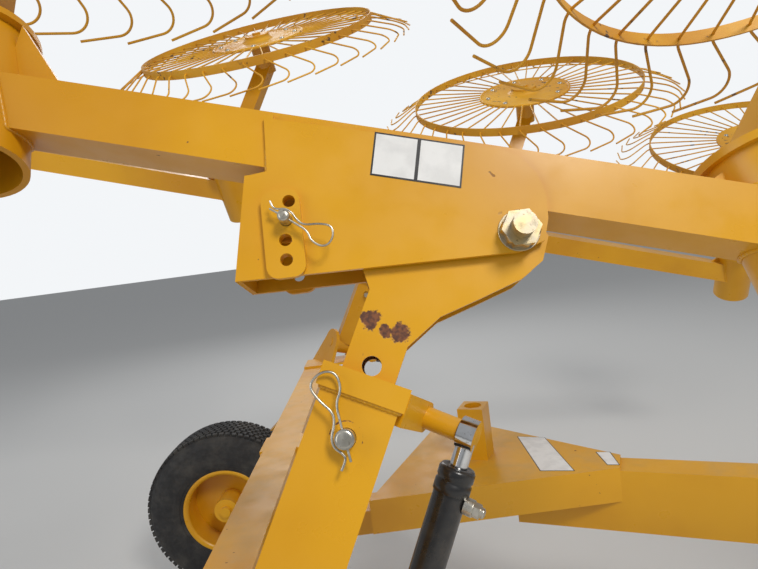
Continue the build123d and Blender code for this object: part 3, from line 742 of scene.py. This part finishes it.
def make_film(name, corners, off, body, panels, white, dark):
    """Blank film on a plate: a dark rim and light panels side by side.

    Corners are top left, top right, bottom right and bottom left, and off is the way off the plate.
    """
    top_left, top_right, low_right, low_left = corners

    def spot(x, y):
        return top_left.lerp(top_right, x).lerp(low_left.lerp(low_right, x), y)

    def patch(x0, y0, x1, y1, low, high):
        rim = (spot(x0, y0), spot(x1, y0), spot(x1, y1), spot(x0, y1))
        below = [place + off * low for place in rim]
        above = [place + off * high for place in rim]
        return lambda bm: add_slab(bm, below, above)

    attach(new_mesh(f"{name}_rim", patch(0, 0, 1, 1, 0, FILM_THICKNESS), dark), body)
    edge_x = FILM_RIM / (top_right - top_left).length
    edge_y = FILM_RIM / (low_left - top_left).length
    for k in range(panels):
        face = patch(k / panels + edge_x, edge_y, (k + 1) / panels - edge_x, 1 - edge_y,
                     FILM_THICKNESS / 2, FILM_THICKNESS * 1.5)
        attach(new_mesh(f"{name}_panel_{k + 1}", face, white), body)


# Welds. BEAD_OFF is how far a bead's middle stands off the steel, and SEAM_OUT widens a drum's seam
BEAD_RADIUS = 0.0042
BEAD_STEP = 0.005
BEAD_SWELL = 0.15
BEAD_OFF = 0.001
SEAM_OUT = 1.02
BRACKET_REAR = ((-0.187, 0.040), (-0.191, -0.006))


def bead(name, points, paint, body):
    """Rippled weld bead through points a few millimetres apart."""
    piece = wire(name, points, BEAD_RADIUS, paint)
    for k, point in enumerate(piece.data.splines[0].points):
        point.radius = 1 + BEAD_SWELL * (1 if k % 2 else -1)
    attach(piece, body)


def between(points):
    """Places along straight runs, about BEAD_STEP apart."""
    places = []
    for start, end in zip(points, points[1:]):
        count = max(1, round((end - start).length / BEAD_STEP))
        places += [start.lerp(end, k / count) for k in range(count)]
    return places + [points[-1]]


def square(half):
    """Corners round a square and back to the first."""
    return ((half, half), (-half, half), (-half, -half), (half, -half), (half, half))


def weld_drum(wing, n, way, paint):
    """Bead where the square beam meets a drum's round side, ahead of it where way is 1, else behind."""
    drum = wing.drum_at(n)
    axle = wing.axle(n)
    up = wing.w.cross(wing.along).normalized()
    flat_along = wing.along - axle * wing.along.dot(axle)
    seam = []
    for offset in between([up * rise + wing.w * out for out, rise in square(BEAM_HALF)]):
        flat_offset = offset - axle * offset.dot(axle)
        a = flat_along.length_squared
        b = 2 * flat_along.dot(flat_offset)
        c = flat_offset.length_squared - DRUM_RADIUS ** 2
        reach = (-b + way * math.sqrt(b * b - 4 * a * c)) / (2 * a)
        seam.append(drum + offset * SEAM_OUT + wing.along * reach)
    bead(f"weld_drum_{n}_{'front' if way > 0 else 'rear'}_{wing.side}", seam, paint, f"head_{wing.side}")


def weld_post(wing, n, paint):
    """Bead round the foot of a crank's post, on its drum's cap."""
    axle = wing.axle(n)
    foot, lean = wing.post(n)
    section = axes_matrix(foot, wing.u - axle * axle.x, lean)
    seam = []
    for x, y in square(POST_HALF + BEAD_OFF):
        corner = section @ Vector((x, y, 0))
        rise = (DRUM_CAP / 2 + BEAD_OFF - (corner - foot).dot(axle)) / lean.dot(axle)
        seam.append(corner + lean * rise)
    bead(f"weld_post_{n}_{wing.side}", between(seam), paint, f"head_{wing.side}")


def make_welds(wing, paint):
    """Beads at the drums and posts, at the bracket's rear edge and under the collar."""
    for n in range(1, RAKE_WHEELS + 1):
        for way in (-1, 1):
            if 1 <= n + way <= RAKE_WHEELS:
                weld_drum(wing, n, way, paint)
        weld_post(wing, n, paint)
    for end, way in (("out", 1), ("in", -1)):
        run = [wing.from_beam(u, v, way * (BEAM_HALF + BEAD_OFF)) for u, v in BRACKET_REAR]
        bead(f"weld_bracket_{end}_{wing.side}", between(run), paint, f"head_{wing.side}")
    bottom = wing.mast_zero - wing.mast_dir * (COLLAR_BOTTOM + BEAD_OFF)
    section = axes_matrix(bottom, wing.w.cross(wing.mast_dir), wing.mast_dir)
    under = [section @ Vector((x, y, 0)) for x, y in square(ARM_HALF + BEAD_OFF)]
    bead(f"weld_collar_{wing.side}", between(under), paint, f"arm_{wing.side}")


# Fold cylinders. The gland's profile is from the barrel's radius and end, its lip's from the rod's radius
BARREL_RADIUS = 0.030
BARREL_END = 0.350
ROD_RADIUS = 0.016
GLAND = ((-0.002, -0.045), (0.0025, -0.044), (0.0025, -0.026), (0.0005, -0.024), (0.0005, -0.020),
         (0.0025, -0.018), (0.0025, -0.004), (-0.001, 0.0015))
GLAND_LIP = ((0.006, 0.002), (0.001, -0.001))
PORT_HEIGHTS = (0.075, BARREL_END - 0.055)
PORT_BOSS = ((0.015, 0.030), (0.015, 0.046), (0.011, 0.047))
PORT_CORNER = 0.0135
PORT_HEXAGON = (0.046, 0.058)
PORT_CAP = ((0.009, 0.057), (0.009, 0.064), (0.006, 0.066), (0, 0.066))


def make_cylinder_fittings(wing, black, steel):
    """Gland ring with its groove, and two capped ports, on a fold cylinder's barrel."""
    side = wing.side
    tilt = joints[f"cylinder_tilt_{side}"]
    foot = Vector(tilt["pos_m"])
    along = Vector(joints[f"cylinder_rod_{side}"]["axis"]).normalized()
    across = Vector(tilt["axis"]).normalized() * wing.sign
    profile = [(BARREL_RADIUS + out, BARREL_END + past) for out, past in GLAND]
    profile += [(ROD_RADIUS + out, BARREL_END + past) for out, past in GLAND_LIP]

    def gland(bm):
        add_lathe(bm, axes_matrix(foot, across, along), profile, segments=56)

    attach(new_mesh(f"gland_{side}", gland, black, smooth=True), f"cylinder_barrel_{side}")

    def ports(bm):
        for height in PORT_HEIGHTS:
            at = axes_matrix(foot + along * height, along, across)
            add_lathe(bm, at, PORT_BOSS, segments=28)
            add_hexagon(bm, at, PORT_CORNER, *PORT_HEXAGON)
            add_lathe(bm, at, PORT_CAP, segments=24)

    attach(bevel(new_mesh(f"ports_{side}", ports, steel), 0.0008), f"cylinder_barrel_{side}")


# Jack's handle, from the jack's top
HANDLE_RADIUS = 0.007
HANDLE_INSET = 0.038
HANDLE_ROUTE = ((0, 0, -0.004), (0, 0, 0.030), (0.012, 0, 0.040), (0.06, 0, 0.042), (0.135, 0, 0.042),
                (0.150, 0, 0.050), (0.150, 0, 0.080), (0.150, 0, 0.125))


def make_jack_handle(steel):
    """Cranked handle on top of the jack."""
    low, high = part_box("jack_housing")
    top = Vector(((low.x + high.x) / 2, high.y - HANDLE_INSET, high.z))
    route = [top + Vector(place) for place in HANDLE_ROUTE]
    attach(wire("jack_handle", route, HANDLE_RADIUS, steel), "tongue")


# Rake wheels' centre plates, with profiles as (radius, height) over the plate's middle
PLATE_BOLTS = 8
PLATE_BOLT_CIRCLE = 0.205
PLATE_BOLT = ((0.0125, 0.0030), (0.0120, 0.0065), (0.008, 0.0098), (0.003, 0.0108), (0, 0.0108))
PLATE_RIB = ((0.237, 0.002), (0.240, 0.0070), (0.249, 0.0070), (0.2505, 0.002))
PLATE_BOSS = ((0.0655, 0.002), (0.0665, 0.022), (0.074, 0.010), (0.086, 0.004), (0.096, 0.002))
BOTH_FACES = (Matrix.Identity(4), Matrix.Rotation(math.pi, 4, "X"))


def make_wheel_hub(wing, n, paint, steel):
    """Plate bolts, a pressed rib and a boss on both faces of a rake wheel's centre plate."""
    side = wing.side
    centre = axes_matrix(wing.wheel_at(n), (1, 0, 0), wing.axle(n))

    def bolts(bm):
        for k in range(PLATE_BOLTS):
            turn = Matrix.Rotation(math.tau * k / PLATE_BOLTS, 4, "Z")
            for face in BOTH_FACES:
                at = centre @ turn @ Matrix.Translation((PLATE_BOLT_CIRCLE, 0, 0)) @ face
                add_lathe(bm, at, PLATE_BOLT, segments=18)

    piece = new_mesh(f"plate_bolts_{n}_{side}", bolts, steel, smooth=True)
    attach(piece, f"rake_wheel_{n}_{side}")

    def ribs(bm):
        for face in BOTH_FACES:
            add_lathe(bm, centre @ face, PLATE_RIB, segments=72)
            add_lathe(bm, centre @ face, PLATE_BOSS, segments=48)

    piece = new_mesh(f"plate_ribs_{n}_{side}", ribs, paint, smooth=True)
    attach(piece, f"rake_wheel_{n}_{side}")


# Worn paint: patches on a mast's outer face as (down, ahead, radius), and the ring round a lock pin
MAST_WEAR = ((0.322, -0.027, 0.019), (0.332, 0.002, 0.013), (0.326, 0.026, 0.019))
LOCK_RING_RADIUS = 0.026


def mast_wear(wing):
    """Worn patches on a wing's mast, as their middles and radii."""
    ahead = wing.mast_dir.cross(wing.w).normalized()
    if ahead.x < 0:
        ahead.negate()
    face = wing.mast_zero + wing.w * MAST_FACE
    return [(face - wing.mast_dir * down + ahead * forward, radius) for down, forward, radius in MAST_WEAR]


def make_floor():
    """Plain pale floor under the rake and far round it."""
    corners = [(x * FLOOR_HALF, y * FLOOR_HALF, 0) for x, y in ((-1, -1), (1, -1), (1, 1), (-1, 1))]

    def make(bm):
        bm.faces.new([bm.verts.new(corner) for corner in corners])

    floor = new_mesh("floor", make, Nodes("floor").finish(FLOOR_PALE, FLOOR_ROUGH))


# Scene

place_camera()
light_scene()

yellow = yellow_paint("frame_yellow")
tine = tine_paint()
tyre = rubber()
zinc = plated("zinc_steel", *ZINC)
gold_zinc = plated("gold_zinc", *GOLD_ZINC)
chrome = plated("rod_chrome", *CHROME)
black = black_paint()
white_film = vinyl("label_white", FILM_WHITE)
dark_film = vinyl("label_dark", FILM_DARK)

mast_paint = {}
arm_paint = {}
for side, wing in wings.items():
    mast_paint[side] = yellow_paint(f"mast_yellow_{side}", worn=mast_wear(wing))
    lock_ring = (wing.lock_point(ARM_HALF), LOCK_RING_RADIUS)
    arm_paint[side] = yellow_paint(f"arm_yellow_{side}", rings=(lock_ring,))

COATS = (("tyre", tyre), ("pivot_bolt", gold_zinc), ("lock_pin", zinc), ("angle_pin", zinc),
         ("cylinder_rod", chrome), ("cylinder_barrel", black), ("jack", black), ("rake_wheel", tine))


def material_of(name):
    """A CAD node's material, by how its name starts."""
    side = "left" if name.endswith("_left") else "right"
    if name.startswith("mast"):
        return mast_paint[side]
    if name.startswith("arm") and not name.startswith("arm_foot"):
        return arm_paint[side]
    for start, coat in COATS:
        if name.startswith(start):
            return coat
    return yellow


for name, node in nodes.items():
    node.data.materials.clear()
    node.data.materials.append(material_of(name))

for side, wing in wings.items():
    make_tyre(wing, tyre)
    make_rim_details(wing, yellow, zinc, black)
    make_pivot_bolt(wing, gold_zinc)
    make_pin_ends(wing, zinc)
    make_welds(wing, yellow)
    make_cylinder_fittings(wing, black, zinc)
    label = [wing.from_beam(u, v, BRACKET_OUT) for u, v in LABEL_CORNERS]
    make_film(f"label_{side}", label, wing.w, f"head_{side}", 2, white_film, dark_film)
    for n in range(1, RAKE_WHEELS + 1):
        make_wheel_hub(wing, n, tine, zinc)

for n, corners in enumerate(ROOT_FILMS, 1):
    on_root = [Vector((x, y, ROOT_TOP)) for x, y in corners]
    make_film(f"film_{n}", on_root, Vector((0, 0, 1)), "tongue", 1, white_film, dark_film)
make_jack_handle(zinc)
make_floor()
